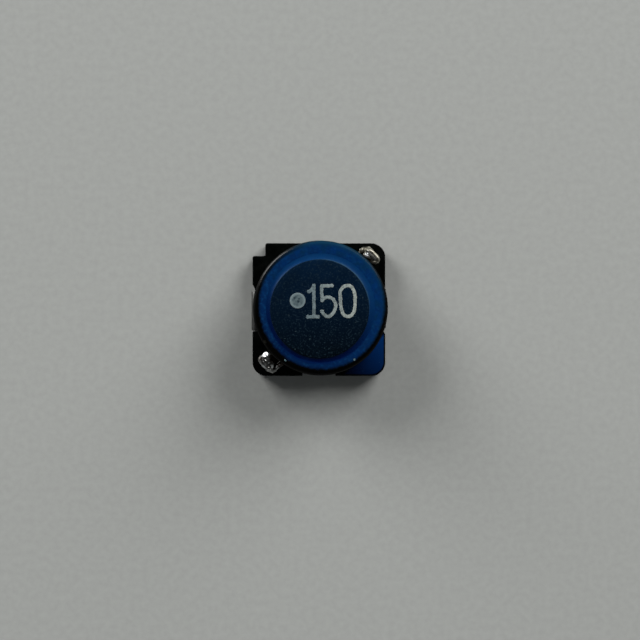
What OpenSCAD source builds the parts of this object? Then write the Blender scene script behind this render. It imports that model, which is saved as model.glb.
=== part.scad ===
// Shielded surface-mount power inductor: a ferrite drum with its coil stands inside a ferrite ring,
// and both sit on a square moulded base with two folded strip terminals.
// Millimetres, +Z up. The origin is the centre of the footprint, on the board.
// The start corner, marked by the square notch, is at -X +Y. The terminals are on -X and +X.

/* [Base] */
// Side of the square base
base_w = 12.5; // [12:0.1:15]
// Thickness of the moulded plastic
base_t = 1.6; // [1.5:0.05:2.4]
// Gap between the plastic and the board
standoff = 0.1; // [0.05:0.01:0.15]
// Radius of the three round corners
corner_r = 1.3; // [0.6:0.1:1.6]
// Side of the square notch in the start corner
notch_w = 1.2; // [0.6:0.1:1.5]
// Length of the recess in the front and in the rear edge
end_recess_w = 3.1; // [1:0.1:4]
// Depth of the recess in the front and in the rear edge
end_recess_d = 0.5; // [0.2:0.05:0.8]
// Depth of the round seat that centres the drum
seat_depth = 0.2; // [0.1:0.05:0.3]

/* [Shield] */
// How far the wall of the shield stands back from the edge of the base
shield_inset = 0.1; // [0:0.05:0.3]
// Height of the shield
shield_h = 4.6; // [3.8:0.1:7]
// Wall of the shield
shield_wall = 1.25; // [0.9:0.05:1.5]
// Radius of the top outer edge
shield_round = 0.45; // [0.1:0.05:0.7]
// How far the shield was set down off centre, to the rear
shield_shift = 0.09; // [0:0.01:0.1]

/* [Drum] */
// Gap between the rim of the drum and the bore of the shield
core_gap = 0.4; // [0.25:0.05:0.5]
// How far the drum stands above the shield
drum_proud = 0.2; // [0.05:0.05:0.3]
// Thickness of each flange
flange_t = 1.1; // [0.8:0.1:1.3]
// Diameter of the hub that carries the coil
hub_d = 4.8; // [3:0.1:5.5]
// Small bevel on the rims of the flanges
rim_bevel = 0.08; // [0.04:0.01:0.12]

/* [Coil] */
// Diameter of the enamelled wire
wire_d = 0.35; // [0.25:0.01:0.4]
// How far the coil stays inside the rims of the flanges
coil_setback = 0.4; // [0.3:0.05:0.8]
// Room on each side of the wire in its flange notch and its groove in the base
wire_clearance = 0.1; // [0.05:0.01:0.15]
// Turn of the first wire exit around the drum, from +X
exit_angle = 246; // [240:1:252]

/* [Terminals] */
// Thickness of the terminal strip
strip_t = 0.2; // [0.15:0.01:0.25]
// Width of the strip where it leaves the base
strip_w = 3.7; // [2.5:0.1:4]
// How far the middle of the strip lies to the front of the base's centre line
strip_shift = 0.13; // [0:0.01:0.3]
// How far the strip stands out past the edge of the base
strip_out = 0.12; // [0.05:0.01:0.3]
// Length of the solder pad under the base
pad_l = 2.4; // [1.6:0.1:3]
// Height of the strip where it leaves the base, to its top face
strip_top = 1; // [0.9:0.05:1.1]
// Inner radius of the folds
fold_r = 0.15; // [0.1:0.01:0.2]
// Depth of the recess that the strip leaves from
strip_recess_d = 0.6; // [0.5:0.05:0.8]
// Width of the upright tab that takes the wire
tab_w = 0.9; // [0.7:0.05:1.1]
// Height of the tab above the base
tab_h = 1.15; // [1.1:0.05:1.5]
// Gap between the wall of the shield and the middle of the tab
tab_gap = 0.86; // [0.8:0.01:0.95]

/* [Bonding] */
// How deep the resin reaches down between the drum and the shield
resin_depth = 0.9; // [0.5:0.05:1]
// How far the resin laps over the inner edge of the shield
resin_lap = 0.06; // [0:0.01:0.1]
// Least cover of solder over the wrapped wire
solder_cover = 0.05; // [0.03:0.01:0.08]

/* [Hidden] */
$fn = 96;
eps = 0.01;
past = 1;                                // how far a cutter runs past the face that it cuts

base_top = standoff + base_t;
seat_z = base_top - seat_depth;

shield_r = base_w / 2 - shield_inset;
bore_r = shield_r - shield_wall;
shield_top = base_top + shield_h;

drum_r = bore_r - core_gap;
drum_top = shield_top + drum_proud;
hub_r = hub_d / 2;
window_z0 = seat_z + flange_t;
window_z1 = drum_top - flange_t;
seat_clearance = 0.05;

coil_r = drum_r - coil_setback;
layer_r = coil_r - wire_d / 2;           // middle of the outer layer of turns
turn_count = floor((window_z1 - window_z0) / wire_d + 0.001);
turn_pitch = (window_z1 - window_z0) / turn_count;

// Terminal, drawn for the -X side: the other one is the same strip, half a turn round.
lead_x = base_w / 2 + strip_out;         // outer face of the folded strip
recess_x = base_w / 2 - strip_recess_d;  // floor of the recess
strip_clearance = 0.05;
recess_bevel = [0.3, 0.57];
strip_root = 0.9;                        // how far the full width runs on inside the plastic
tongue_r = 5.2;                          // where the tongue under the tab starts, from the centre
arm_w = 1.15;
corner_angle = 225;                      // the tab's corner, around from +X

tab_r = shield_r + tab_gap;
tab_top = base_top + tab_h;
tab_end = tab_w / 2;

// Wire lead-out, in the upright plane from the flange notch to the end of the tab
groove_w = wire_d + 2 * wire_clearance;
lead_z = base_top - wire_d / 2 - wire_clearance / 2;
bend_r = wire_d;
wrap_r = strip_t / 2 + wire_d / 2;       // middle of the wire around the edge of the tab
wrap_z = base_top + wire_d / 2 + solder_cover;
wrap_pitch = 0.9 * wire_d;
exit_point = layer_r * [cos(exit_angle), sin(exit_angle)];
tab_point = turned([tab_r, tab_end + wrap_r], corner_angle);
lead_run = norm(tab_point - exit_point);
lead_angle = atan2(tab_point.y - exit_point.y, tab_point.x - exit_point.x);

wrap_bore = strip_t / 2 + wire_d;        // outside of the wrapped turns
wrap_h = wrap_z + wrap_pitch + wire_d / 2 - base_top;
solder_r = wrap_bore + solder_cover;
solder_h = wrap_h + 2 * solder_cover;

function turned(p, a) = [p.x * cos(a) - p.y * sin(a), p.x * sin(a) + p.y * cos(a)];

// A quarter of a flat ring in the +X +Y quarter: the section of one fold.
module fold_section(inner, t) {
  intersection() {
    difference() {
      circle(inner + t);
      circle(inner);
    }
    square(inner + t + past);
  }
}

// Stands a section drawn in X and Y up in the XZ plane, centred on Y = 0.
module upright(width) {
  rotate([90, 0, 0])
    linear_extrude(width, center = true)
      children();
}

// ---- Base ----

module base_outline() {
  half = base_w / 2;
  straight = base_w - 2 * corner_r;
  difference() {
    union() {
      square([straight, base_w], center = true);
      square([base_w, straight], center = true);
      for (c = [[1, 1], [1, -1], [-1, -1]])
        translate(c * (half - corner_r)) circle(corner_r);
      translate([-half, half - corner_r]) square(corner_r);
    }
    translate([-half - past, half - notch_w]) square(notch_w + past);
    for (a = [0, 180]) rotate(a) {
      strip_recess_outline();
      translate([-end_recess_w / 2, -half - past])
        square([end_recess_w, end_recess_d + past]);
    }
  }
}

// The recess that the strip folds down in: square at its front end, bevelled at its rear end.
module strip_recess_outline() {
  edge = -base_w / 2;
  y0 = -strip_shift - strip_w / 2 - strip_clearance;
  y1 = -strip_shift + strip_w / 2 + strip_clearance;
  polygon([
    [edge - past, y0],
    [-recess_x, y0],
    [-recess_x, y1],
    [edge + recess_bevel.x, y1],
    [edge, y1 + recess_bevel.y],
    [edge - past, y1 + recess_bevel.y]
  ]);
}

// Open groove that the wire lies in, from under the drum out to the tab
module wire_groove() {
  groove_z = lead_z - wire_d / 2 - wire_clearance / 2;
  translate([exit_point.x, exit_point.y, groove_z])
    rotate(lead_angle) {
      cylinder(d = groove_w, h = base_t);
      translate([0, -groove_w / 2, 0]) cube([lead_run, groove_w, base_t]);
      translate([lead_run, 0, 0]) cylinder(d = groove_w, h = base_t);
    }
}

module base() {
  color("#15171a")
    difference() {
      translate([0, 0, standoff]) linear_extrude(base_t) base_outline();
      translate([0, 0, seat_z]) cylinder(r = drum_r + seat_clearance, h = seat_depth + past);
      for (a = [0, 180]) rotate(a) {
        wire_groove();
        strip();
      }
    }
}

// ---- Terminals ----

// The strip seen along Y: out of the base, down beside it, and under it as the solder pad.
module strip_section() {
  outer = fold_r + strip_t;
  fold_x = -lead_x + outer;
  upper_z = strip_top - outer;
  translate([fold_x, strip_top - strip_t]) square([lead_x - outer - recess_x + strip_root, strip_t]);
  translate([fold_x, upper_z]) mirror([1, 0]) fold_section(fold_r, strip_t);
  translate([-lead_x, outer]) square([strip_t, upper_z - outer]);
  translate([fold_x, outer]) rotate(180) fold_section(fold_r, strip_t);
  translate([fold_x, 0]) square([pad_l - outer, strip_t]);
}

// The tab seen along its width, with X away from the middle of the part
module tab_section() {
  outer = fold_r + strip_t;
  fold_x = tab_r + strip_t / 2 - outer;
  floor_z = strip_top - strip_t;
  translate([tongue_r, floor_z]) square([fold_x - tongue_r, strip_t]);
  translate([fold_x, floor_z + outer]) mirror([0, 1]) fold_section(fold_r, strip_t);
  translate([tab_r - strip_t / 2, floor_z + outer]) square([strip_t, tab_top - floor_z - outer]);
}

// Flat arm inside the plastic, from the root of the strip to the tongue under the tab
module arm_outline() {
  root_x = -recess_x + strip_root;
  front_y = -strip_shift - strip_w / 2;
  near = turned([tongue_r + arm_w, -tab_end], corner_angle);
  far = turned([tongue_r, tab_end], corner_angle);
  polygon([
    [root_x - arm_w / 2, front_y + arm_w],
    [-recess_x + strip_clearance, front_y + arm_w / 2],
    near,
    far,
    [root_x, front_y + arm_w / 2],
    [root_x, front_y + arm_w]
  ]);
}

module strip() {
  translate([0, -strip_shift, 0]) upright(strip_w) strip_section();
  translate([0, 0, strip_top - strip_t]) linear_extrude(strip_t) arm_outline();
  rotate(corner_angle) upright(tab_w) tab_section();
}

module terminal_left() {
  color("#b9bcbc") strip();
}

module terminal_right() {
  color("#b9bcbc") rotate(180) strip();
}

// ---- Cores ----

module shield_section() {
  round_x = shield_r - shield_round;
  round_z = shield_top - shield_round;
  foot_bevel = 0.15;
  difference() {
    translate([bore_r, base_top]) square([shield_wall, shield_h]);
    difference() {
      translate([round_x, round_z]) square(shield_round + past);
      translate([round_x, round_z]) circle(shield_round);
    }
    polygon([
      [shield_r - foot_bevel, base_top - eps],
      [shield_r + eps, base_top - eps],
      [shield_r + eps, base_top + foot_bevel]
    ]);
  }
}

module shield_core() {
  color("#0f4f9c")
    translate([0, shield_shift, 0])
      rotate_extrude()
        shield_section();
}

module flange_section() {
  polygon([
    [0, 0],
    [drum_r - rim_bevel, 0],
    [drum_r, rim_bevel],
    [drum_r, flange_t - rim_bevel],
    [drum_r - rim_bevel, flange_t],
    [0, flange_t]
  ]);
}

// Notch in the lower flange that lets the wire down to its groove
module flange_notch() {
  translate([exit_point.x, exit_point.y, seat_z - past])
    rotate(lead_angle) {
      cylinder(d = groove_w, h = flange_t + 2 * past);
      translate([0, -groove_w / 2, 0]) cube([drum_r, groove_w, flange_t + 2 * past]);
    }
}

module drum_core() {
  color("#16283a")
    difference() {
      rotate_extrude() {
        translate([0, seat_z]) flange_section();
        translate([0, window_z1]) flange_section();
        translate([0, seat_z + flange_t / 2]) square([hub_r, drum_top - seat_z - flange_t]);
      }
      for (a = [0, 180]) rotate(a) flange_notch();
    }
}

// ---- Coil ----

// The wound layers as one pack, with the outer turns standing out as ridges
module coil_pack() {
  fill_r = layer_r + wire_d / 10;
  rotate_extrude() {
    translate([hub_r, window_z0]) square([fill_r - hub_r, window_z1 - window_z0]);
    for (i = [0:turn_count - 1])
      translate([layer_r, window_z0 + (i + 0.5) * turn_pitch]) circle(d = wire_d);
  }
}

// A quarter bend in the XZ plane: it comes along +X and turns up, with its centre line at the origin.
module wire_bend() {
  translate([0, 0, bend_r])
    rotate([90, 0, 0])
      rotate(-90)
        rotate_extrude(angle = 90)
          translate([bend_r, 0]) circle(d = wire_d);
}

// One turn of wire around the tab, which stands across X
module tab_turn() {
  for (s = [-1, 1]) {
    translate([s * wrap_r, 0, 0])
      rotate([90, 0, 0]) cylinder(d = wire_d, h = tab_w, center = true);
    translate([0, s * tab_end, 0])
      rotate(s * 90 - 90)
        rotate_extrude(angle = 180)
          translate([wrap_r, 0]) circle(d = wire_d);
  }
}

// From the coil down through the flange notch, along the groove, up and twice round the tab
module lead_out() {
  drop_top = window_z0 + turn_pitch / 2;
  translate([exit_point.x, exit_point.y, lead_z])
    rotate(lead_angle) {
      translate([0, 0, bend_r]) cylinder(d = wire_d, h = drop_top - lead_z - bend_r);
      translate([bend_r, 0, 0]) mirror([1, 0, 0]) wire_bend();
      translate([bend_r, 0, 0])
        rotate([0, 90, 0]) cylinder(d = wire_d, h = lead_run - 2 * bend_r);
      translate([lead_run - bend_r, 0, 0]) wire_bend();
      translate([lead_run, 0, bend_r])
        cylinder(d = wire_d, h = wrap_z - lead_z - bend_r + wire_d / 5);
    }
  rotate(corner_angle)
    for (i = [0, 1])
      translate([tab_r, 0, wrap_z + i * wrap_pitch]) tab_turn();
}

module winding() {
  color("#b5651d") {
    coil_pack();
    for (a = [0, 180]) rotate(a) lead_out();
  }
}

// ---- Resin and solder ----

// Resin in the gap around the drum: its surface climbs from the shield to the rim of the drum.
module gap_resin() {
  reach = core_gap + shield_shift + resin_lap;
  climb = drum_proud - rim_bevel;
  floor_z = shield_top - resin_depth;
  steps = 6;
  surface = [for (i = [steps:-1:0])
    [drum_r + reach * i / steps, shield_top + climb * pow(1 - i / steps, 2)]];
  color("#1d62b4")
    intersection() {
      rotate_extrude()
        polygon(concat([[drum_r, floor_z], [drum_r + reach, floor_z]], surface));
      translate([0, shield_shift, floor_z - past]) {
        cylinder(r = bore_r, h = resin_depth + past);
        translate([0, 0, resin_depth + past]) cylinder(r = bore_r + resin_lap, h = past);
      }
    }
}

// An upright slab with round ends around the tab, which stands across X
module round_slab(r, h) {
  translate([-r, -tab_end, 0]) cube([2 * r, tab_w, h]);
  for (s = [-1, 1]) translate([0, s * tab_end, 0]) cylinder(r = r, h = h);
}

// Solder over the wrapped tab. Each lump is how far it lies outward, along the tab and above the
// base, and its radius, all as shares of the radius of the solder round the tab.
module solder_joint(lumps) {
  reach = 4 * solder_r;
  color("#cfd0cd")
    difference() {
      rotate(corner_angle)
        translate([tab_r, 0, base_top])
          difference() {
            intersection() {
              union() {
                round_slab(solder_r, solder_h);
                for (l = solder_r * lumps) translate([l[0], l[1], l[2]]) sphere(l[3]);
              }
              translate([-reach, -reach, 0]) cube(2 * reach);
            }
            translate([0, 0, -past]) round_slab(wrap_bore, wrap_h + past);
          }
      strip();
    }
}

module solder_front_left() {
  solder_joint([[-0.44, -1, 1, 1], [0.24, 1.1, 0.9, 1.04], [0.1, 1.9, 0.4, 0.64]]);
}

module solder_rear_right() {
  rotate(180)
    solder_joint([[0.32, -0.8, 1, 0.92], [0.4, 1, 1.2, 1], [-0.2, 2, 0.4, 0.6]]);
}

base();
terminal_left();
terminal_right();
shield_core();
drum_core();
winding();
gap_resin();
solder_front_left();
solder_rear_right();
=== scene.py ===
"""Looks of the shielded surface-mount power inductor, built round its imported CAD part."""

import math

import bmesh
import bpy
from mathutils import Matrix, Vector


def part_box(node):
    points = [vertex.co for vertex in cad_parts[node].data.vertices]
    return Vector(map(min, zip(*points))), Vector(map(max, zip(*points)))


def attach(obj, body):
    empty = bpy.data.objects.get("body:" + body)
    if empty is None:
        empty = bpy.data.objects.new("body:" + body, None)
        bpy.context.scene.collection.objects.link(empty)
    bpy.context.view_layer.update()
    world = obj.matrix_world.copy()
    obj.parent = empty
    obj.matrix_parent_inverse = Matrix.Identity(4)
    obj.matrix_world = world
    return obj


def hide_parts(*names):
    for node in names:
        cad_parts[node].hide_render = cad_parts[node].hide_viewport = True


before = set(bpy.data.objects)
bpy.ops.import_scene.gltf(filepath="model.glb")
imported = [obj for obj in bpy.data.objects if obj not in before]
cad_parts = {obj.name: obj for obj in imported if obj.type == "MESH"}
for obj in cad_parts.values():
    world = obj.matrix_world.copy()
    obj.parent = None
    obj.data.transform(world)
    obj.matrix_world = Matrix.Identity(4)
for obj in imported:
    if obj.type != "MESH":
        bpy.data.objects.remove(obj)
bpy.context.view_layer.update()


# ---- Base ----
# Square base of black moulded plastic, pressed round the terminals in one shot.
# It has a notched start corner, a recess in each edge, a round seat for the drum
# and two grooves for the ends of the wire. Pieces are drawn in millimetres.

def deselect():
    if bpy.context.mode != "OBJECT":
        bpy.ops.object.mode_set(mode="OBJECT")
    bpy.ops.object.select_all(action="DESELECT")


def hold(piece):
    """Makes a piece the only one that the next operator works on."""
    deselect()
    piece.select_set(True)
    bpy.context.view_layer.objects.active = piece


def place_in_mesh():
    """Writes the place, turn and scale of the piece at hand into its mesh."""
    bpy.ops.object.transform_apply(location=True, rotation=True, scale=True)
    return bpy.context.object


def box_of(node):
    """The low and high corners of a solid, in millimetres."""
    return [corner * 1000 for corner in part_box(node)]


def block(low, high):
    low, high = Vector(low), Vector(high)
    deselect()
    bpy.ops.mesh.primitive_cube_add(size=1, location=(low + high) / 2)
    bpy.context.object.scale = high - low
    return place_in_mesh()


def rod(radius, low, high, sides, at=(0, 0)):
    deselect()
    bpy.ops.mesh.primitive_cylinder_add(
        vertices=sides, radius=radius, depth=high - low, location=(*at, (low + high) / 2))
    return place_in_mesh()


def middle(part):
    """The middle of an edge or a face, or the place of a corner."""
    corners = getattr(part, "verts", [part])
    return sum((c.co for c in corners), Vector()) / len(corners)


def pick(piece, kind, test):
    """Selects in edit mode the corners, edges or faces that pass the test."""
    hold(piece)
    bpy.ops.object.mode_set(mode="EDIT")
    bpy.ops.mesh.select_mode(type=kind)
    bpy.ops.mesh.select_all(action="DESELECT")
    mesh = bmesh.from_edit_mesh(piece.data)
    for part in {"VERT": mesh.verts, "EDGE": mesh.edges, "FACE": mesh.faces}[kind]:
        if test(part):
            part.select_set(True)
    mesh.select_flush_mode()
    bmesh.update_edit_mesh(piece.data)


def pick_all(piece):
    """Selects the whole of a piece in edit mode."""
    pick(piece, "VERT", lambda corner: True)


def done():
    bpy.ops.object.mode_set(mode="OBJECT")


def push(value):
    """Draws the picked faces out by this much."""
    bpy.ops.mesh.extrude_region_move(TRANSFORM_OT_translate={"value": value})


def round_edges(piece, width, segments, test):
    """Rounds the edges that pass the test."""
    pick(piece, "EDGE", test)
    bpy.ops.mesh.bevel(offset=width, segments=segments, affect="EDGES")
    done()


def apply_modifier(piece, kind, **settings):
    hold(piece)
    modifier = piece.modifiers.new(kind.title(), kind)
    for name, value in settings.items():
        setattr(modifier, name, value)
    bpy.ops.object.modifier_apply(modifier=modifier.name)


def fit(piece, tool, how="DIFFERENCE", keep=False):
    """Cuts a piece with a tool, or joins the tool to it."""
    apply_modifier(piece, "BOOLEAN", operation=how, object=tool, solver="EXACT")
    if not keep:
        hold(tool)
        bpy.ops.object.delete()


def turn(piece, degrees):
    hold(piece)
    piece.rotation_euler.z = math.radians(degrees)
    return place_in_mesh()


def twin(piece, degrees):
    """A second one with its own mesh, turned round the middle of the part."""
    hold(piece)
    bpy.ops.object.duplicate(linked=False)
    return turn(bpy.context.object, degrees)


def is_upright(edge):
    a, b = edge.verts
    return abs((a.co - b.co).normalized().z) > 0.99


def is_sharp(edge):
    """Where two faces meet at more than about 40 degrees."""
    return edge.calc_face_angle(0) > 0.7


def cut_wire_ways(piece, length, low, high, *round_at):
    """Cuts a slot for each end of the wire, from the coil towards its tab."""
    way = block((0, -way_half, low), (length, way_half, high))
    for x in round_at:
        fit(way, rod(way_half, low, high, 24, (x, 0)), "UNION")
    turn(way, lead_angle)
    way.location = lead_start
    place_in_mesh()
    other_way = twin(way, 180)
    fit(piece, way)
    fit(piece, other_way)


def seat(piece, name, material, slot, *nodes, smooth=35):
    """Brings a finished piece from millimetres to metres and puts it on the part."""
    hold(piece)
    piece.scale = (0.001, 0.001, 0.001)
    place_in_mesh()
    bpy.ops.object.shade_smooth_by_angle(angle=math.radians(smooth))
    piece.name = name
    piece.data.name = name
    piece.data.materials.clear()
    piece.data.materials.append(material)
    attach(piece, "root")
    if nodes:
        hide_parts(*nodes)


class Finish:
    """A material whose nodes follow the place on the piece."""

    def __init__(self, name, **sockets):
        self.material = bpy.data.materials.new(name)
        self.material.use_nodes = True
        self.tree = self.material.node_tree
        self.shader = self.tree.nodes["Principled BSDF"]
        for socket, value in sockets.items():
            self.shader.inputs[socket.replace("_", " ")].default_value = value
        self.place = self.add("ShaderNodeTexCoord").outputs["Object"]

    def add(self, kind, **settings):
        node = self.tree.nodes.new(kind)
        for name, value in settings.items():
            setattr(node, name, value)
        return node

    def join(self, value, socket):
        if isinstance(value, bpy.types.NodeSocket):
            self.tree.links.new(value, socket)
        else:
            socket.default_value = value

    def to(self, value, socket):
        self.join(value, self.shader.inputs[socket])

    def spread(self, value, low, high, start=0.0, end=1.0, kind="LINEAR"):
        node = self.add("ShaderNodeMapRange", interpolation_type=kind)
        for socket, number in zip(node.inputs, (value, low, high, start, end)):
            self.join(number, socket)
        return node.outputs[0]

    def noise(self, size, start=0.0, end=1.0, detail=3.0, low=0.3, high=0.7, place=None):
        """Cloudy grain whose lumps are about this many millimetres across."""
        node = self.add("ShaderNodeTexNoise")
        self.join(place or self.place, node.inputs["Vector"])
        node.inputs["Scale"].default_value = 1000 / size
        node.inputs["Detail"].default_value = detail
        return self.spread(node.outputs["Fac"], low, high, start, end)

    def math(self, operation, a, b=0.0):
        node = self.add("ShaderNodeMath", operation=operation)
        self.join(a, node.inputs[0])
        self.join(b, node.inputs[1])
        return node.outputs[0]

    def times(self, share, *others):
        """The product of shares, which is 1 only where each of them is 1."""
        for other in others:
            share = self.math("MULTIPLY", share, other)
        return share

    def vector(self, operation, a, b=(0, 0, 0), output="Vector"):
        node = self.add("ShaderNodeVectorMath", operation=operation)
        self.join(a, node.inputs[0])
        self.join(b, node.inputs[1])
        return node.outputs[output]

    def along(self, *direction):
        """Grows in this direction, from 0 at the middle of the part, in metres."""
        return self.vector("DOT_PRODUCT", self.place, direction, "Value")

    def from_axis(self, x=0.0, y=0.0, stretch=1.0):
        """Distance from an upright axis here, in metres; stretch makes it count more in X."""
        plan = self.vector("MULTIPLY", self.place, (stretch, 1, 0))
        return self.vector("DISTANCE", plan, (x, y, 0), "Value")

    def mix(self, share, a, b):
        node = self.add("ShaderNodeMix", data_type="RGBA")
        self.join(share, node.inputs[0])
        self.join((*a, 1) if isinstance(a, tuple) else a, node.inputs[6])
        self.join((*b, 1) if isinstance(b, tuple) else b, node.inputs[7])
        return node.outputs[2]

    def bump(self, height, depth, strength, normal=None):
        """Relief whose height runs over this many millimetres."""
        node = self.add("ShaderNodeBump")
        node.inputs["Strength"].default_value = strength
        node.inputs["Distance"].default_value = depth / 1000
        self.join(height, node.inputs["Height"])
        if normal:
            self.join(normal, node.inputs["Normal"])
        return node.outputs[0]

    def spot(self, at, radius, edge):
        """1 inside a spot on the piece and 0 outside it; place and radius in millimetres."""
        centre = tuple(v / 1000 for v in at)
        away = self.vector("DISTANCE", self.place, centre, "Value")
        away = self.math("ADD", away, self.noise(radius, -0.0004 * radius, 0.0004 * radius))
        return self.spread(away, radius * (1 - edge) / 1000, radius * (1 + edge) / 1000, 1.0, 0.0)


base_low, base_high = box_of("base")
edge_x, edge_y, base_top = base_high
standoff = base_low.z
drum_low, drum_high = box_of("drum_core")
drum_r = drum_high.x
seat_z = drum_low.z
corner_r = 1.3
notch_side = 1.2                         # of the square notch in the start corner
strip_y = (-1.98, 1.72)                  # the two sides of the left strip
recess_x = 5.65                          # where the recess of a strip ends inwards
side_half = 1.55                         # half the width of the recess at the front and the rear
side_y = 5.75                            # where it ends inwards
play = 0.05                              # round a strip in its recess and the drum in its seat
outside, below, above = 8, -1, 3         # where the cutting blocks end, well clear of the base

base = block(base_low, base_high)
round_edges(base, corner_r, 14,
            lambda e: is_upright(e) and not (middle(e).x < 0 < middle(e).y))
fit(base, block((-outside, edge_y - notch_side, below), (notch_side - edge_x, outside, above)))

# The recess of a strip has a step at its rear end, and then slants out to the edge.
recess = block((-outside, strip_y[0] - play, below), (-recess_x, strip_y[1] + play, above))
step_x = 0.3
for step_y in (0, 0.57):
    pick(recess, "FACE", lambda f: (f.normal.y > 0.9 and middle(f).y > strip_y[1]
                                    and middle(f).x < -6))
    push((0, step_y, 0))
    mesh = bmesh.from_edit_mesh(recess.data)
    for corner in mesh.verts:
        corner.select_set(corner.select and corner.co.x > -7)
    mesh.select_flush(False)
    bpy.ops.transform.translate(value=(-step_x, 0, 0))
    done()
other_recess = twin(recess, 180)
fit(base, recess)
fit(base, other_recess)

for low_y, high_y in ((-outside, -side_y), (side_y, outside)):
    fit(base, block((-side_half, low_y, below), (side_half, high_y, above)))

# The upright edges of the notch are rounder than the other ones.
for width, reach in ((0.18, edge_y - notch_side - 0.05), (0.09, -outside)):
    round_edges(base, width, 4, lambda e: (is_upright(e) and is_sharp(e)
                                           and min(-middle(e).x, middle(e).y) > reach))
round_edges(base, 0.06, 3, lambda e: is_sharp(e) and not is_upright(e))

fit(base, rod(drum_r + play, seat_z, above, 160))

# Marks of the four ejector pins on the underside
pin_r = 0.5
pin_mark = 0.03
for at in ((-2.6, -3.9), (2.6, -3.9), (2.6, 3.9), (-2.6, 3.9)):
    fit(base, rod(pin_r, below, standoff + pin_mark, 40, at))

# Each end of the wire leaves the coil at lead_start and meets its tab at lead_end.
lead_start = Vector((-1.5965, -3.5857, 0))
lead_end = Vector((-4.4443, -5.4696, 0))
lead_angle = math.degrees(math.atan2(lead_end.y - lead_start.y, lead_end.x - lead_start.x))
lead_run = (lead_end - lead_start).length
way_half = 0.275                         # half the width of the groove and of the flange notch
groove_z = 1.25
cut_wire_ways(base, lead_run, groove_z, above, lead_run, 0)

black_plastic = Finish("black_plastic", Specular_IOR_Level=0.2)
fine = black_plastic.noise(0.05, detail=2)
cloud = black_plastic.noise(0.8)
bare = black_plastic.mix(cloud, (0.0002, 0.0005, 0.0003), (0.0007, 0.0011, 0.0008))
# Brown flux ran over the plastic round the two joints.
flux = [black_plastic.spot((side * 4.50, side * 4.70, base_top), 0.75, 0.30) for side in (-1, 1)]
flux = black_plastic.math("MAXIMUM", *flux)
flux = black_plastic.times(flux, black_plastic.noise(0.35, detail=4))
bare = black_plastic.mix(flux, bare, (0.0080, 0.0052, 0.0028))
# A painted blue reflection lies on the corner at +X -Y, inside the edge, and fades out to the
# front.
on_corner = black_plastic.spread(black_plastic.along(1, -1, 0), 0.0083, 0.0086)
past_round = black_plastic.vector("MULTIPLY", black_plastic.place, (1, -1, 0))
past_round = black_plastic.vector("SUBTRACT", past_round, (0.0049, 0.0049, 0))
past_round = black_plastic.vector("MAXIMUM", past_round, (0, 0, 0))
past_round = black_plastic.vector("LENGTH", past_round, output="Value")
inside = black_plastic.spread(past_round, 0.00114, 0.00124, 1.0, 0.0)
on_top = black_plastic.spread(black_plastic.along(0, 0, 1), 0.00155, 0.00165)
painted_reflection_patch = black_plastic.times(on_corner, inside, on_top)
to_rear = black_plastic.spread(black_plastic.along(1, 1, 0), -0.0045, 0.0036)
to_rear = black_plastic.math("POWER", to_rear, 1.4)
painted_blue_reflection = black_plastic.mix(to_rear, (0.0004, 0.0020, 0.0105), (0.0004, 0.0262, 0.1250))
black_plastic.to(black_plastic.mix(painted_reflection_patch, bare, painted_blue_reflection), "Base Color")
black_plastic.to(black_plastic.noise(0.4, 0.18, 0.28), "Roughness")
black_plastic.to(black_plastic.bump(fine, 0.002, 0.4), "Normal")


# ---- Terminals ----
# Two strips of tin-plated copper alloy, stamped and moulded in. Each leaves the base in
# the recess of its edge, folds down and under as the solder pad, and sends an arm
# through the plastic to an upright tab in the corner that takes the wire.

def outline(points, filled=True):
    """A flat shape with these corners, drawn as a ring of edges or one face."""
    deselect()
    bpy.ops.mesh.primitive_circle_add(
        vertices=len(points), fill_type="NGON" if filled else "NOTHING")
    for corner, point in zip(bpy.context.object.data.vertices, points):
        corner.co = point
    return bpy.context.object


def bend(x, z):
    """Carries the end face a quarter round a line along Y."""
    bpy.ops.mesh.spin(steps=10, angle=math.pi / 2, center=(x, 0, z), axis=(0, 1, 0))


def pick_end(piece, side):
    """Selects the end face on the -X or the +X side."""
    pick(piece, "FACE", lambda f: f.normal.x * side > 0.99)


def tidy_shell(piece):
    pick_all(piece)
    bpy.ops.mesh.remove_doubles(threshold=0.0005)
    bpy.ops.mesh.normals_make_consistent(inside=False)
    done()


terminal_low, terminal_high = box_of("terminal_left")
strip_t = 0.2
strip_z = (0.8, 1.0)                     # underside and top of the strip inside the plastic
strip_end = -4.75
outer_bend = 0.35
fold_x = terminal_low.x + outer_bend
pad_length = 2.4
tab_x = 7.01                             # from the axis of the part to the middle of a tab
tab_angle = 225
tab_half = 0.45
tab_bend = 0.15                          # inside radius at the foot of the tab
foot_x = tab_x - strip_t / 2 - tab_bend

strip = block((fold_x, strip_y[0], strip_z[0]), (strip_end, strip_y[1], strip_z[1]))
pick_end(strip, -1)
bend(fold_x, strip_z[1] - outer_bend)
push((0, 0, 2 * outer_bend - strip_z[1]))
bend(fold_x, outer_bend)
push((pad_length - outer_bend, 0, 0))
done()
tidy_shell(strip)

tab = block((5.2, -tab_half, strip_z[0]), (foot_x, tab_half, strip_z[1]))
pick_end(tab, 1)
bend(foot_x, strip_z[1] + tab_bend)
push((0, 0, terminal_high.z - strip_z[1] - tab_bend))
done()
tidy_shell(tab)
turn(tab, tab_angle)

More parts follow.
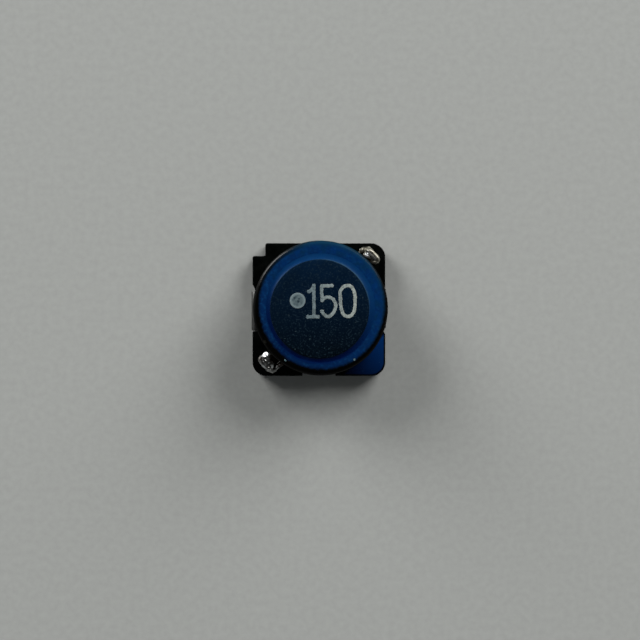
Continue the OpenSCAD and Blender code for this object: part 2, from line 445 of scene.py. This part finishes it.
arm = outline([(x, y, strip_z[0]) for x, y in (
    (-5.325, -0.83), (-5.6, -1.405), (-4.7942, -4.1720), (-3.3729, -3.9951),
    (strip_end, -1.405), (strip_end, -0.83))])
pick_all(arm)
push((0, 0, strip_t))
done()
tidy_shell(arm)
fit(strip, arm, "UNION")
fit(strip, tab, "UNION")
terminal_left = strip                    # the strip with its arm and tab is the whole terminal
apply_modifier(terminal_left, "BEVEL", width=0.02, segments=2, limit_method="ANGLE",
               angle_limit=math.radians(50))
terminal_right = twin(terminal_left, 180)
fit(base, terminal_left, keep=True)
fit(base, terminal_right, keep=True)
tidy_shell(base)
seat(base, "moulded_base", black_plastic.material, "base_plastic", "base")

tin = Finish("tin_plate", Metallic=1.0)
rub = tin.noise(0.25, detail=5)
# The tin is coloured much darker than bright tin plate, as painted shade.
tin.to(tin.mix(rub, (0.078, 0.078, 0.075), (0.134, 0.134, 0.129)), "Base Color")
tin.to(tin.noise(0.12, 0.42, 0.54), "Roughness")
drawn = tin.vector("MULTIPLY", tin.place, (6, 1, 6))
tin.to(tin.bump(tin.noise(0.3, place=drawn), 0.004, 0.4), "Normal")
seat(terminal_left, "strip_terminal_left", tin.material, "tinned_strip", "terminal_left")
seat(terminal_right, "strip_terminal_right", tin.material, "tinned_strip", "terminal_right")


# ---- Drum ----
# Sintered ferrite drum, ground flat, with two flanges on a hub. It stands in the seat of
# the base, and its lower flange has two notches that let the wire ends out.

def circle_at(radius, z, centre=(0, 0)):
    """A test that finds the edges of a level circle."""
    return lambda e: (all(abs(end.co.z - z) < 0.002 for end in e.verts)
                      and abs((middle(e).xy - Vector(centre)).length - radius) < 0.01)


def at_height(z):
    """A test that finds the level faces at this height."""
    return lambda f: abs(f.normal.z) > 0.99 and abs(middle(f).z - z) < 0.002


hub_r = 2.4
flange_t = 1.1
window_z = (seat_z + flange_t, drum_high.z - flange_t)
drum_top = drum_high.z - 0.01            # the printed ink makes up the last hundredth

drum = rod(drum_r, seat_z, window_z[0], 256)
pick(drum, "FACE", at_height(window_z[0]))
bpy.ops.mesh.inset(thickness=drum_r - hub_r)
push((0, 0, window_z[1] - window_z[0]))
push((0, 0, 0))
bpy.ops.transform.resize(value=(drum_r / hub_r, drum_r / hub_r, 1), center_override=(0, 0, 0))
push((0, 0, drum_top - window_z[1]))
bpy.ops.mesh.inset(thickness=0.5)
bpy.ops.mesh.inset(thickness=1.5)
done()
for z in (seat_z, *window_z, drum_top):
    round_edges(drum, 0.08, 4, circle_at(drum_r, z))
cut_wire_ways(drum, drum_r, seat_z - 1, window_z[0] + 0.5, 0)

ferrite = Finish("varnished_ferrite", Specular_IOR_Level=0.08,
                 Specular_Tint=(0.3, 0.65, 1.0, 1.0))
# Painted blue sheen: the top is lighter and bluer towards the rear.
painted_sheen_to_rear = ferrite.spread(ferrite.along(0, 1, 0), -0.0042, 0.0042)
tone = ferrite.mix(painted_sheen_to_rear, (0.0004, 0.0014, 0.0026), (0.0012, 0.0082, 0.0240))
tone = ferrite.mix(ferrite.noise(1.4, 0.0, 0.5), tone, (0.0008, 0.0036, 0.0090))
grains = ferrite.noise(0.15, detail=3, low=0.54, high=0.80)
tone = ferrite.mix(grains, tone, (0.0140, 0.0280, 0.0400))
flecks = ferrite.noise(0.22, detail=1, low=0.74, high=0.79)
tone = ferrite.mix(ferrite.times(flecks, 0.6), tone, (0.042, 0.066, 0.072))
ferrite.to(tone, "Base Color")
ferrite.to(ferrite.noise(0.2, 0.40, 0.54), "Roughness")
relief = ferrite.bump(ferrite.noise(0.06, detail=2), 0.003, 0.5)
ferrite.to(ferrite.bump(grains, 0.006, 0.5, relief), "Normal")
seat(drum, "ferrite_drum", ferrite.material, "drum_ferrite", "drum_core")


# ---- Coil ----
# Enamelled copper wire wound in layers on the hub. Each end runs down through a notch,
# along its groove under the ring and twice round its tab.

def wire_along(points, radius):
    """A round wire through these places, made a mesh."""
    deselect()
    bpy.ops.curve.primitive_bezier_curve_add()
    curve = bpy.context.object
    spline = curve.data.splines[0]
    spline.bezier_points.add(len(points) - 2)
    for bezier, point in zip(spline.bezier_points, points):
        bezier.co = point
        bezier.handle_left_type = bezier.handle_right_type = "AUTO"
    curve.data.bevel_depth = radius
    curve.data.bevel_resolution = 4
    curve.data.resolution_u = 3
    curve.data.use_fill_caps = True
    hold(curve)
    bpy.ops.object.convert(target="MESH")
    tidy_shell(bpy.context.object)
    return bpy.context.object


def merge(parts):
    """Joins all the parts into the first one."""
    hold(parts[0])
    for part in parts:
        part.select_set(True)
    bpy.ops.object.join()
    return bpy.context.object


wire_r = 0.175
layer_r = 3.925                          # to the middle of the wire in the outer layer
layer_turns = 7
turn_steps = 24

sleeve = rod(layer_r - 0.02, *window_z, 96)
fit(sleeve, rod(hub_r, 0, outside, 96))
spiral = []
for i in range(turn_steps * layer_turns + 1):
    angle = math.radians(360 / turn_steps * i)
    spiral.append((layer_r * math.cos(angle), layer_r * math.sin(angle),
                   window_z[0] + wire_r + 2 * wire_r * i / turn_steps))
turns = wire_along(spiral, wire_r)

lead_z = 1.475                           # of the wire in its groove
wrap_r = wire_r + strip_t / 2
wrap_reach = 0.36                        # the straight part on each half of a tab
wrap_z = 1.93                            # where the wire starts on the tab
wrap_rise = 0.0374                       # from each place to the next
wraps = []                               # eight places a turn, twice round a tab on the X axis
for i in range(2 * 8 + 1):
    angle = math.radians(90 + 45 * i)
    end = math.copysign(wrap_reach, math.sin(angle)) if abs(math.sin(angle)) > 0.1 else 0
    wraps.append(Vector((tab_x + wrap_r * math.cos(angle), wrap_r * math.sin(angle) + end,
                         wrap_z + wrap_rise * i)))
toward = (lead_end - lead_start).normalized()
path = [lead_start + Vector((0, 0, z)) for z in (2.9, 2.5, 2.1)]
path += [lead_start + toward * r + Vector((0, 0, z))
         for r, z in ((0.03, 1.75), (0.14, 1.56), (0.36, lead_z), (0.8, lead_z), (1.6, lead_z),
                      (2.4, lead_z))]
path += [lead_end - toward * r + Vector((0, 0, z))
         for r, z in ((0.45, lead_z), (0.16, 1.55), (0.04, 1.72))]
path += [Matrix.Rotation(math.radians(tab_angle), 3, "Z") @ place for place in wraps]
lead = wire_along(path, wire_r)
other_lead = twin(lead, 180)
coil = merge([sleeve, turns, lead, other_lead])

enamel = Finish("enamelled_copper", Metallic=1.0, Coat_Weight=0.7, Coat_Roughness=0.12)
shade = enamel.noise(0.35, detail=4)
copper = enamel.mix(shade, (0.30, 0.085, 0.022), (0.52, 0.19, 0.06))
# Past the ring the wire is brown and dull with flux.
past_ring = enamel.spread(enamel.from_axis(), 0.0056, 0.0060)
enamel.to(enamel.mix(past_ring, copper, (0.016, 0.010, 0.006)), "Base Color")
enamel.to(enamel.math("SUBTRACT", 1.0, past_ring), "Metallic")
enamel.to(enamel.noise(0.15, 0.22, 0.38), "Roughness")
enamel.to(enamel.bump(enamel.noise(0.1), 0.003, 0.4), "Normal")
seat(coil, "wound_coil", enamel.material, "enamelled_wire", "winding")


# ---- Shield ring ----
# Pressed and sintered ferrite ring that closes the magnetic path round the coil. Its top
# carries a blue lacquer, drawn a little off centre, so that the black rim it leaves at the left
# and the front is partly painted shade. The wall is bare black ferrite, and the top has a few
# small specks.

def lathe(points, centre=(0, 0, 0)):
    """A section in the XZ plane spun once round the upright axis, then set at the centre."""
    section = outline([(x, 0, z) for x, z in points], filled=False)
    pick_all(section)
    bpy.ops.mesh.spin(steps=256, angle=2 * math.pi, center=(0, 0, 0), axis=(0, 0, 1))
    done()
    tidy_shell(section)
    hold(section)
    section.location = centre
    return place_in_mesh()


def quarter(centre, radius, start, steps, power=1.0):
    """Places along a quarter round that begins at this angle; a power below 1 makes it fuller."""
    places = []
    for i in range(steps + 1):
        angle = math.radians(start - 90 * i / steps)
        places.append([c + radius * math.copysign(abs(share) ** power, share)
                       for c, share in zip(centre, (math.cos(angle), math.sin(angle)))])
    return places


def between(start, end, steps):
    """Places that divide the line between two places into equal steps."""
    return [[a + (b - a) * i / steps for a, b in zip(start, end)] for i in range(1, steps)]


def lumps(piece, size, height):
    """Lifts and lowers the surface a little, so that it isn't dead true."""
    texture = bpy.data.textures.new("lumps", "CLOUDS")
    texture.noise_scale = size
    apply_modifier(piece, "DISPLACE", texture=texture, strength=height, mid_level=0.5,
                   texture_coords="LOCAL")


ring_low, ring_high = box_of("shield_core")
ring_r = (ring_high.x - ring_low.x) / 2
ring_x = 0.08                            # set down a little to the right
ring_y = (ring_high.y + ring_low.y) / 2
ring_wall = 1.25
bore_r = ring_r - ring_wall
ring_top = ring_high.z
round_r = 0.45                           # of the outer edge of the top
bore_round = 0.05
foot_cut = 0.15                          # the slant at the foot of the wall

flat = ((bore_r + bore_round, ring_top), (ring_r - round_r, ring_top))
wall = ((ring_r, ring_top - round_r), (ring_r, ring_low.z + foot_cut))
ring = lathe(
    quarter((bore_r + bore_round, ring_top - bore_round), bore_round, 180, 3)
    + between(*flat, 5)
    + quarter((ring_r - round_r, ring_top - round_r), round_r, 90, 12, 0.8)
    + between(*wall, 8)
    + [wall[1], (ring_r - foot_cut, ring_low.z), (bore_r, ring_low.z)],
    centre=(ring_x, ring_y, 0))
lumps(ring, 1.6, 0.012)

ring_finish = Finish("lacquered_ring")
to_right = ring_finish.along(1, 0, 0)
to_rear = ring_finish.along(0, 1, 0)
to_rear_left = ring_finish.along(-1, 1, 0)
height = ring_finish.along(0, 0, 1)
oval = 1.03                              # the coat reaches a little less far in X than in Y
# The coat is drawn off centre so that its black rim at the left and front is partly painted shade.
off_centre = ring_finish.from_axis(0.00021, 0.00041, oval)
ragged = ring_finish.math("ADD", off_centre, ring_finish.noise(0.4, -0.00006, 0.00006))
lacquer = ring_finish.spread(ragged, 0.00564, 0.00604, 1.0, 0.0, "SMOOTHSTEP")
lacquer = ring_finish.times(lacquer, ring_finish.spread(height, 0.00580, 0.00595))
# Painted sheen and shade: the blue is lighter towards the rear right and darker towards the front
# left and beside the resin at the front.
painted_sheen = ring_finish.spread(ring_finish.along(0.6, 1, 0), -0.0062, 0.0050)
blue = ring_finish.mix(painted_sheen, (0.0014, 0.0128, 0.0560), (0.0014, 0.0222, 0.0970))
blue = ring_finish.mix(ring_finish.noise(0.5, 0.0, 0.50, detail=5, low=0.38, high=0.62), blue,
                       (0.0026, 0.0140, 0.0520))
# Paler streaks, strongest on the left, are partly painted highlights.
streaks_and_glints = ring_finish.noise(0.26, detail=5, low=0.47, high=0.70)
streaks_and_glints = ring_finish.times(streaks_and_glints, ring_finish.spread(to_right, -0.0062, -0.0034, 0.8, 0.42))
blue = ring_finish.mix(streaks_and_glints, blue, (0.0045, 0.0420, 0.1300))
patches = ring_finish.noise(0.9, 0.0, 0.45, detail=5, low=0.50, high=0.64)
patches = ring_finish.times(patches, ring_finish.spread(painted_sheen, 0.35, 0.75))
blue = ring_finish.mix(patches, blue, (0.0022, 0.0240, 0.0560))
# Painted shade darkens the blue beside the bore at the front.
painted_bore_shade = ring_finish.spread(ring_finish.from_axis(stretch=oval), 0.00488, 0.00514, 1.0, 0.0)
painted_bore_shade = ring_finish.times(painted_bore_shade, ring_finish.spread(to_rear, -0.0034, 0.0004, 0.8, 0.0))
blue = ring_finish.mix(painted_bore_shade, blue, (0.0008, 0.0080, 0.0540))
# Painted shade makes it darkest at the front left, and paler wrinkled streaks beside that are
# painted highlights on the wrinkles.
painted_front_left_shade = ring_finish.times(ring_finish.spot((-3.60, -3.95, ring_top), 0.85, 0.6), 0.5)
blue = ring_finish.mix(painted_front_left_shade, blue, (0.0008, 0.0060, 0.0360))
painted_wrinkle_glints = ring_finish.times(ring_finish.spot((-4.00, -3.25, ring_top), 0.95, 0.6),
                             ring_finish.noise(0.22, detail=4, low=0.52, high=0.72), 0.5)
blue = ring_finish.mix(painted_wrinkle_glints, blue, (0.0080, 0.0520, 0.1150))
# The coat runs out thin and green-black over the edge.
edge = ring_finish.from_axis(ring_x / 1000, ring_y / 1000)
ran_out = ring_finish.spread(edge, (ring_r - 0.62) / 1000, (ring_r - 0.08) / 1000)
blue = ring_finish.mix(ran_out, blue, (0.0040, 0.0260, 0.0480))
# At the rear left it stops short of the edge; the dark line this leaves on the bare ferrite is a
# painted dark reflection.
painted_dark_line = ring_finish.spread(edge, (ring_r - 0.53) / 1000, (ring_r - 0.44) / 1000)
painted_dark_line = ring_finish.times(painted_dark_line, ring_finish.spread(to_rear_left, 0.0068, 0.0082, 0.0, 0.75))
lacquer = ring_finish.times(lacquer, ring_finish.math("SUBTRACT", 1.0, painted_dark_line))
# Below the rounded edge the bare ferrite is paler and grainy.
black = ring_finish.mix(ring_finish.noise(0.15),
                        (0.0003, 0.0004, 0.0003), (0.0018, 0.0017, 0.0013))
grain = ring_finish.mix(ring_finish.noise(0.10, detail=4),
                        (0.0050, 0.0048, 0.0045), (0.0150, 0.0144, 0.0136))
on_wall = ring_finish.spread(height, (ring_top - 0.75) / 1000, (ring_top - 0.45) / 1000, 1.0, 0.0)
black = ring_finish.mix(on_wall, black, grain)
tone = ring_finish.mix(lacquer, black, blue)
# Small pale grey-blue specks and one dark speck are set on the top.
for at, size, speck_tone in (((-3.16, -4.63, ring_top), 0.045, (0.20, 0.32, 0.35)),
                       ((-3.08, -4.71, ring_top), 0.040, (0.16, 0.27, 0.30)),
                       ((3.16, -4.60, ring_top), 0.08, (0.10, 0.16, 0.18)),
                       ((-5.02, -3.0, ring_top), 0.13, (0.014, 0.014, 0.011))):
    tone = ring_finish.mix(ring_finish.spot(at, size, 0.6), tone, speck_tone)
ring_finish.to(tone, "Base Color")
# The rounded edge is smooth, most of all at the rear left, and the wall below it is matt.
polished = ring_finish.spread(height, (ring_top - 0.24) / 1000, (ring_top - 0.15) / 1000)
shiny = ring_finish.spread(to_rear_left, 0.0045, 0.0075, 0.06, 0.19)
shiny = ring_finish.mix(lacquer, shiny, (0.015, 0.015, 0.015))
matt = ring_finish.spread(height, (ring_top - 0.80) / 1000, (ring_top - 0.50) / 1000, 0.25, 0.0)
shiny = ring_finish.math("ADD", ring_finish.times(polished, shiny), matt)
ring_finish.to(shiny, "Specular IOR Level")
ring_finish.to(ring_finish.spread(polished, 0.0, 1.0, 0.60, 0.22), "Roughness")
ring_finish.to(ring_finish.bump(ring_finish.noise(0.09, detail=2), 0.002, 0.4), "Normal")
seat(ring, "ferrite_ring", ring_finish.material, "shield_ferrite", "shield_core")


# ---- Resin ----
# Blue epoxy dispensed between the drum and the ring. It wets both, so its surface
# climbs in a hollow curve from the ring to the rim of the drum.

resin_low, resin_high = box_of("gap_resin")
lap_r = bore_r + 0.06                    # it laps a little over the ring
lap_z = ring_top - 0.02
steps = 10
surface = [(drum_r + (lap_r - drum_r) * i / steps,
            ring_top + (resin_high.z - ring_top) * (1 - i / steps) ** 2) for i in range(steps + 1)]
resin = lathe([(drum_r, resin_low.z), *surface,
               (lap_r, lap_z), (bore_r, lap_z), (bore_r, resin_low.z)])
# The ring sits off centre, so the outer edge of the resin goes with it.
for corner in resin.data.vertices:
    share = min(1, max(0, (corner.co.xy.length - drum_r) / (bore_r - drum_r)))
    corner.co.x += ring_x * share
    corner.co.y += ring_y * share

resin_finish = Finish("blue_resin", Specular_IOR_Level=0.08,
                      Specular_Tint=(0.6, 0.85, 1.0, 1.0))
# Painted shade: it is darker at the front left and lighter towards the rear right.
depth = resin_finish.spread(resin_finish.along(0.35, 1, 0), -0.0036, 0.0042, kind="SMOOTHSTEP")
tone = resin_finish.mix(depth, (0.0001, 0.0036, 0.0370), (0.0022, 0.0290, 0.1000))
tone = resin_finish.mix(resin_finish.noise(0.5, 0.0, 0.35), tone, (0.0008, 0.0150, 0.0650))
# A pale line on the rim of the drum at the rear right is a painted highlight.
rim = resin_finish.math("ADD", resin_finish.from_axis(),
                        resin_finish.noise(0.35, -0.00004, 0.00004))
line = resin_finish.spread(rim, (drum_r + 0.04) / 1000, (drum_r + 0.10) / 1000, 1.0, 0.0)
rear_right = resin_finish.spread(resin_finish.along(1, 1, 0), 0.0035, 0.0060, 0.0, 0.7)
line = resin_finish.times(line, rear_right)
tone = resin_finish.mix(line, tone, (0.020, 0.060, 0.100))
resin_finish.to(tone, "Base Color")
resin_finish.to(resin_finish.noise(0.25, 0.26, 0.36), "Roughness")
resin_finish.to(resin_finish.bump(resin_finish.noise(0.25, detail=3), 0.008, 0.5), "Normal")
seat(resin, "gap_resin_ring", resin_finish.material, "blue_resin", "gap_resin")


# ---- Solder joints ----
# Hand-soldered joints over the wire that is wrapped on the corner tabs. Each set in its
# own lumps, with brown flux left between the joint and the ring.

def solder_lump(balls, angle, name, node, facet=None):
    """Balls and thickly tinned turns in the frame of the tab, flowed together on the base.

    A facet flattens the first ball a little on the side that faces this way.
    """
    parts = [wire_along(wraps, wire_r + coat_t)]
    for x, y, z, radius in balls:
        at = Vector((tab_x + x, y, base_top + z))
        deselect()
        bpy.ops.mesh.primitive_uv_sphere_add(
            segments=24, ring_count=16, radius=radius, location=at)
        ball = place_in_mesh()
        if facet and len(parts) == 1:
            pick_all(ball)
            bpy.ops.mesh.bisect(plane_co=at + facet * (radius - facet_depth), plane_no=facet,
                                use_fill=True, clear_outer=True)
            done()
        parts.append(ball)
    lump = merge(parts)
    apply_modifier(lump, "REMESH", mode="VOXEL", voxel_size=0.03)
    apply_modifier(lump, "SMOOTH", factor=0.7, iterations=10)
    lumps(lump, 0.55, 0.07)
    apply_modifier(lump, "SMOOTH", factor=0.6, iterations=5)
    pick_all(lump)
    bpy.ops.mesh.bisect(
        plane_co=(0, 0, base_top), plane_no=(0, 0, 1), use_fill=True, clear_inner=True)
    done()
    turn(lump, angle)
    seat(lump, name, solder.material, "solder", node, smooth=180)


coat_t = 0.05                            # of solder on the wire
facet_depth = 0.10

solder = Finish("bright_solder")
stain = solder.noise(0.4, detail=4, low=0.38, high=0.60)
clean = solder.mix(stain, (0.17, 0.165, 0.155), (0.50, 0.51, 0.50))
stained = solder.mix(stain, (0.12, 0.112, 0.088), (0.30, 0.288, 0.240))
to_right = solder.along(1, 0, 0)
bright = solder.mix(solder.spread(to_right, -0.001, 0.001), clean, stained)
# Flux stays on the side of the joints that faces the ring, by the end of the wire.
fluxed = solder.math("ADD", solder.from_axis(), solder.noise(0.4, -0.00012, 0.00012, detail=4))
fluxed = solder.spread(fluxed, 0.00652, 0.00676, 1.0, 0.0)
wire_end = solder.times(solder.along(-1, 1, 0), solder.math("SIGN", to_right))
fluxed = solder.times(fluxed, solder.spread(wire_end, -0.0007, -0.0002))
# The side of the front joint where the first turn starts is dull and grey-brown.
dirty = solder.spot((-5.60, -4.58, 2.55), 0.42, 0.30)
bright = solder.mix(dirty, bright, (0.085, 0.078, 0.072))
# Each has one clean bright cap, set where its highlight falls, so it is partly a painted
# highlight.
painted_highlight_cap = solder.math("MAXIMUM", solder.spot((-5.00, -4.19, 2.62), 0.36, 0.30),
                  solder.spot((4.55, 5.14, 2.72), 0.28, 0.35))
bright = solder.mix(painted_highlight_cap, bright, (0.44, 0.45, 0.46))
solder.to(solder.mix(fluxed, bright, (0.014, 0.009, 0.005)), "Base Color")
solder.to(solder.math("SUBTRACT", 1.0, fluxed), "Metallic")
# The one at the rear right set duller.
dull = solder.spread(to_right, -0.001, 0.001, 0.0, 0.12)
dull = solder.math("ADD", dull, solder.times(dirty, 0.22))
dull = solder.math("SUBTRACT", dull, solder.times(painted_highlight_cap, 0.10))
solder.to(solder.math("ADD", dull, solder.noise(0.3, 0.24, 0.40)), "Roughness")
solder.to(solder.bump(solder.noise(0.20, detail=4), 0.012, 0.6), "Normal")
solder_lump([(-0.46, -0.38, 0.62, 0.46), (-0.02, -0.38, 0.52, 0.40), (-0.06, 0.0, 0.66, 0.40),
             (0.16, 0.10, 0.50, 0.40), (0.0, 0.3, 0.30, 0.42),
             (-0.02, 0.32, 0.55, 0.40), (0.18, 0.55, 0.38, 0.38), (0.12, 0.90, 0.20, 0.32),
             (-0.04, 1.05, 0.06, 0.24), (-0.28, 1.06, 0.03, 0.20), (-0.52, 1.10, 0.02, 0.19),
             (-0.74, 1.14, 0.01, 0.18), (-0.90, 1.20, 0.0, 0.16)],
            tab_angle, "solder_joint_front_left", "solder_front_left",
            facet=Vector((-0.15, -0.53, 0.835)).normalized())
solder_lump([(0.0, -0.50, 0.50, 0.33), (0.15, -0.35, 0.52, 0.40), (0.08, 0.0, 0.60, 0.38),
             (0.0, -0.1, 0.25, 0.40), (0.20, 0.45, 0.60, 0.36), (0.02, 0.35, 0.56, 0.40),
             (-0.24, 0.20, 0.92, 0.20), (-0.30, 0.38, 0.90, 0.20), (-0.36, 0.58, 0.86, 0.20),
             (0.06, 0.72, 0.54, 0.38), (0.30, 0.72, 0.46, 0.26), (-0.08, 0.95, 0.32, 0.32),
             (-0.26, 1.14, 0.08, 0.20), (-0.50, 1.06, 0.0, 0.18)],
            tab_angle - 180, "solder_joint_rear_right", "solder_rear_right")


# ---- Printed code ----
# Pale ink printed on the drum: a dot at the start of the winding and the value code 150,
# in round-ended strokes of one width. The ink stands up about a hundredth of a millimetre.

def ink_strokes(paths, name):
    """Strokes of ink along these paths, run together and pressed flat."""
    parts = []
    for path in paths:
        for place in (path[0], path[-1]):
            deselect()
            bpy.ops.mesh.primitive_uv_sphere_add(
                segments=20, ring_count=12, radius=stroke_end_r, location=(*place, 0))
            parts.append(place_in_mesh())
        parts.append(wire_along([(x, y, 0) for x, y in path], stroke_r))
    stroke = merge(parts)
    apply_modifier(stroke, "REMESH", mode="VOXEL", voxel_size=0.035)
    apply_modifier(stroke, "SMOOTH", factor=0.5, iterations=2)
    lumps(stroke, 0.12, 0.10)
    hold(stroke)
    stroke.scale.z = stroke_t / stroke_r
    stroke.location.z = drum_top
    place_in_mesh()
    seat(stroke, name, ink.material, None, smooth=180)


stroke_r = 0.152
stroke_end_r = stroke_r * 1.13
stroke_t = 0.0075                        # how far a pressed stroke stands up

ink = Finish("pale_ink", Specular_IOR_Level=0.1)
# The ink is lighter towards the last digit.
lighter_to_right = ink.spread(ink.along(1, 0, 0), -0.0010, 0.0030)
full = ink.mix(lighter_to_right, (0.132, 0.180, 0.195), (0.320, 0.352, 0.325))
thin = ink.mix(lighter_to_right, (0.074, 0.102, 0.112), (0.190, 0.215, 0.200))
ink.to(ink.mix(ink.noise(0.20, detail=3, low=0.36, high=0.60), thin, full), "Base Color")
ink.to(ink.noise(0.1, 0.5, 0.7), "Roughness")
ink.to(ink.bump(ink.noise(0.06), 0.003, 0.5), "Normal")

ink_strokes([[(-1.00, 1.58), (-0.82, 1.66), (-0.68, 1.84), (-0.53, 2.12)],
             [(-0.53, 2.10), (-0.52, 0.7), (-0.52, -0.70)],
             [(-1.06, -0.72), (-0.60, -0.72), (-0.16, -0.72)]], "ink_digit_1")
ink_strokes([[(1.10, 2.11), (0.7, 2.09), (0.20, 2.08)],
             [(0.18, 2.06), (0.18, 1.5), (0.23, 0.78)],
             [(0.26, 0.84), (0.48, 1.0), (0.78, 1.06), (1.08, 0.98), (1.31, 0.74), (1.44, 0.46),
              (1.45, 0.17), (1.34, -0.16), (1.09, -0.52), (0.79, -0.70), (0.52, -0.62),
              (0.29, -0.38), (0.21, -0.22)]], "ink_digit_5")
ink_strokes([[(2.20, 2.03), (2.47, 2.11), (2.77, 2.09), (3.05, 1.77), (3.19, 1.29), (3.21, 0.70),
              (3.18, 0.11), (3.08, -0.31), (2.82, -0.61), (2.56, -0.69), (2.27, -0.60),
              (2.04, -0.25), (1.94, 0.11), (1.89, 0.64), (1.87, 1.12), (1.86, 1.56), (2.0, 1.82),
              (2.20, 2.03)]], "ink_digit_0")

dot_at = (-2.0, 0.755)
dot_r = 0.71
dot_top = drum_top + 0.009
dot = rod(dot_r, dot_top - 0.02, dot_top, 64, dot_at)
pick(dot, "FACE", at_height(dot_top))
bpy.ops.mesh.inset(thickness=0.08)
bpy.ops.mesh.inset(thickness=0.25)
done()
round_edges(dot, 0.008, 2, circle_at(dot_r, dot_top, dot_at))

# The dot took less ink inside its rim, and has a few bare flecks.
thin_ink = Finish("thin_ink", Specular_IOR_Level=0.1)
rim = thin_ink.spread(thin_ink.from_axis(dot_at[0] / 1000, dot_at[1] / 1000), 0.00045, 0.00060)
tone = thin_ink.mix(thin_ink.noise(0.24, detail=3, low=0.36, high=0.62),
                    (0.048, 0.074, 0.086), (0.105, 0.142, 0.150))
tone = thin_ink.mix(rim, tone, (0.150, 0.195, 0.205))
for at, size in (((-1.93, 0.70), 0.10), ((-2.28, 0.98), 0.09), ((-1.88, 0.92), 0.06)):
    tone = thin_ink.mix(thin_ink.spot((*at, drum_top), size, 0.6), tone, (0.010, 0.022, 0.030))
thin_ink.to(tone, "Base Color")
thin_ink.to(thin_ink.noise(0.1, 0.5, 0.7), "Roughness")
thin_ink.to(thin_ink.bump(thin_ink.noise(0.06), 0.003, 0.5), "Normal")
seat(dot, "ink_dot", thin_ink.material, None)


# ---- Floor, light and camera ----
# A plain pale table, two broad soft lights low behind the part, and a camera almost
# straight above.

def soft_light(name, at, size, power):
    deselect()
    bpy.ops.object.light_add(type="AREA", location=at)
    light = bpy.context.object
    light.name = name
    light.rotation_euler = (light_aim - Vector(at)).to_track_quat("-Z", "Y").to_euler()
    light.data.shape = "RECTANGLE"
    light.data.size, light.data.size_y = size
    light.data.energy = power
    light.visible_camera = False


deselect()
bpy.ops.mesh.primitive_plane_add(size=6, location=(0, 0, -0.00001))
floor = bpy.context.object
floor.name = "floor"
table = Finish("pale_table", Specular_IOR_Level=0.2)
table.to(table.mix(table.noise(0.6, detail=4), (0.345, 0.352, 0.335), (0.375, 0.382, 0.365)),
         "Base Color")
table.to(0.7, "Roughness")
floor.data.materials.append(table.material)

light_aim = Vector((0, 0, 0.002))
soft_light("rear_right_light", (0.688, 0.819, 0.545), (0.75, 0.85), 17.0)
soft_light("rear_left_light", (-0.781, 0.781, 0.469), (0.60, 0.80), 14.8)

# The room is bright near the table and almost dark overhead.
world = bpy.data.worlds.new("room")
bpy.context.scene.world = world
world.use_nodes = True
sky = world.node_tree
background = sky.nodes["Background"]
direction = sky.nodes.new("ShaderNodeTexCoord")
split = sky.nodes.new("ShaderNodeSeparateXYZ")
sky.links.new(direction.outputs["Generated"], split.inputs[0])
fall = sky.nodes.new("ShaderNodeMapRange")
sky.links.new(split.outputs["Z"], fall.inputs[0])
for socket, number in zip(fall.inputs[1:5], (0.50, 0.80, 0.30, 0.004)):
    socket.default_value = number
sky.links.new(fall.outputs[0], background.inputs["Strength"])
background.inputs["Color"].default_value = (0.92, 0.97, 1.0, 1)

camera_aim = Vector((0.000099, -0.000980, 0.0017))
deselect()
bpy.ops.object.camera_add(location=(-0.0018, -0.00164, 0.1317))
camera = bpy.context.object
back = (camera.location - camera_aim).normalized()
right = Vector((0, 1, 0)).cross(back).normalized()
camera.rotation_euler = Matrix((right, back.cross(right), back)).transposed().to_euler()
camera.data.sensor_width = 36
camera.data.lens = 77.7
camera.data.clip_start = 0.005
camera.data.clip_end = 10
bpy.context.scene.camera = camera
bpy.context.scene.view_settings.view_transform = "Standard"

bpy.context.view_layer.update()
